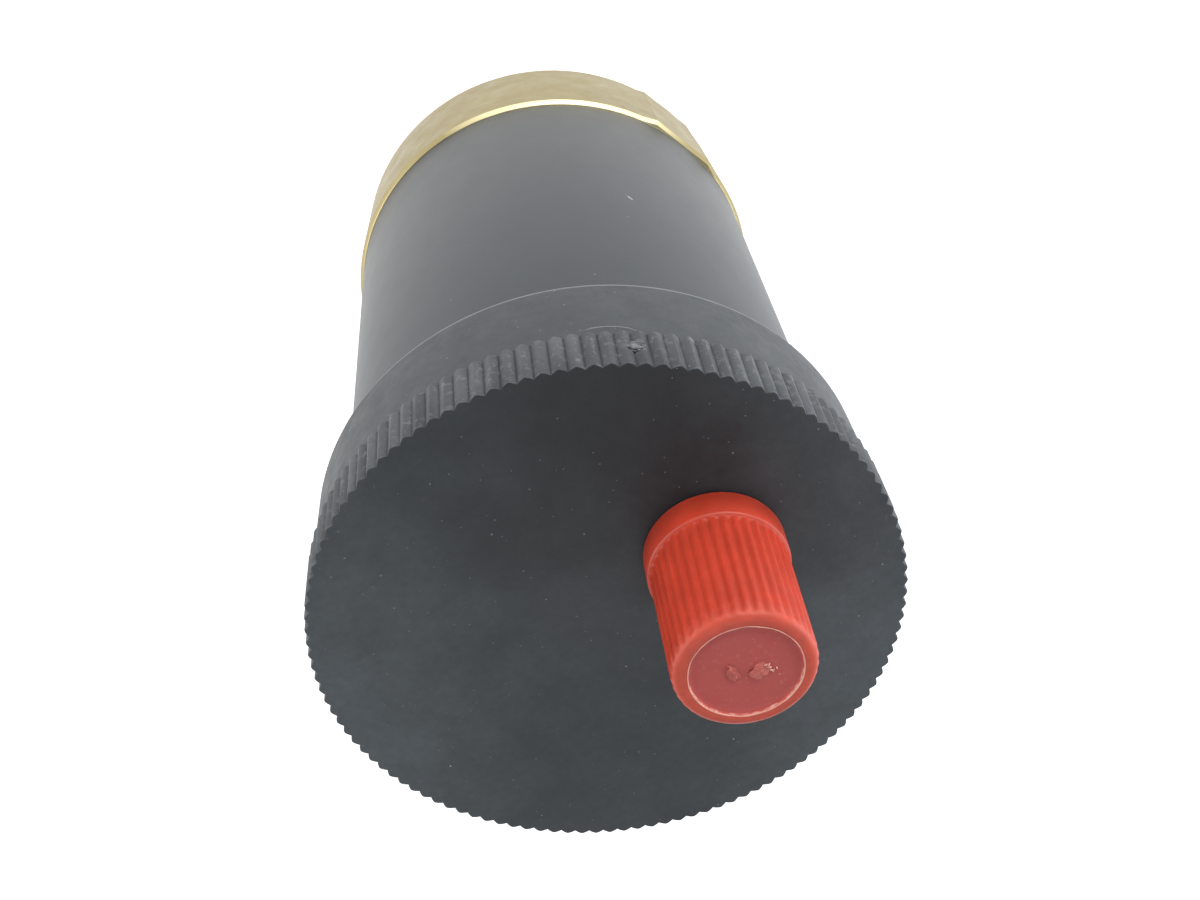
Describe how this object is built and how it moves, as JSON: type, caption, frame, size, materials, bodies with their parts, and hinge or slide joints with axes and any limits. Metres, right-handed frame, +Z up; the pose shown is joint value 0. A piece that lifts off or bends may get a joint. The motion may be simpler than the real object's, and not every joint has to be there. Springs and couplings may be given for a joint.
{
  "type": "air release valve",
  "caption": "Automatic air release valve: black screw-topped float housing on a brass threaded foot, with a red fluted vent cap off-centre on its knurled cover.",
  "frame": {"origin": "centre of the lower end of the threaded spigot", "axes": "+Z up along the valve's axis from the spigot to the cover, +X from the axis towards the red vent cap"},
  "size_m": [0.047, 0.047, 0.0919],
  "materials": {
    "brass": "satin, as forged and turned",
    "rubber": "matte",
    "housing_plastic": "satin moulded",
    "cover_plastic": "satin moulded, knurled rim",
    "red_plastic": "waxy moulded, fluted",
    "stamped_steel": "stamped",
    "pin_steel": "drawn wire",
    "lever_plastic": "moulded",
    "float_plastic": "translucent moulded"
  },
  "bodies": {
    "housing": {"base_fitting": "brass", "base_o_ring": "rubber", "housing": "housing_plastic"},
    "cover_gasket": {"cover_gasket": "rubber"},
    "cover": {"cover": "cover_plastic", "valve_seat": "brass", "seat_o_ring": "rubber", "pivot_frame": "stamped_steel", "frame_screws": "stamped_steel", "lever_pin": "pin_steel", "pin_clip": "pin_steel", "lever_spring": "pin_steel"},
    "lever": {"lever": "lever_plastic", "valve_pad": "rubber"},
    "float": {"float_shell": "float_plastic", "float_base": "float_plastic", "float_pin": "pin_steel"},
    "vent_cap_seal": {"vent_cap_seal": "rubber"},
    "vent_cap": {"vent_cap": "red_plastic"}
  },
  "joints": [
    {"name": "cover_lift", "type": "slide", "parent": "housing", "child": "cover_gasket", "axis": [0, 0, 1], "range_m": [0, 0.007]},
    {"name": "cover_turn", "type": "hinge", "parent": "cover_gasket", "child": "cover", "pos_m": [0, 0, 0.0745], "axis": [0, 0, 1], "range_deg": [0, 1260]},
    {"name": "float_rise", "type": "slide", "parent": "cover", "child": "float", "axis": [0, 0, 1], "range_m": [0, 0.005]},
    {"name": "lever_swing", "type": "hinge", "parent": "cover", "child": "lever", "pos_m": [0.0145, 0, 0.0707], "axis": [0, 1, 0], "range_deg": [0, 19.03], "deforming": ["lever_spring"]},
    {"name": "vent_cap_lift", "type": "slide", "parent": "cover", "child": "vent_cap_seal", "axis": [0, 0, 1], "range_m": [0, 0.00375]},
    {"name": "vent_cap_turn", "type": "hinge", "parent": "vent_cap_seal", "child": "vent_cap", "pos_m": [0.0103, 0, 0.086], "axis": [0, 0, 1], "range_deg": [0, 900]}
  ],
  "couplings": [
    {"joint": "cover_turn", "follows": "cover_lift", "rad_per_m": 3141.5},
    {"joint": "lever_swing", "follows": "float_rise", "rad_per_m": 66.41},
    {"joint": "vent_cap_turn", "follows": "vent_cap_lift", "rad_per_m": 4188.7}
  ]
}
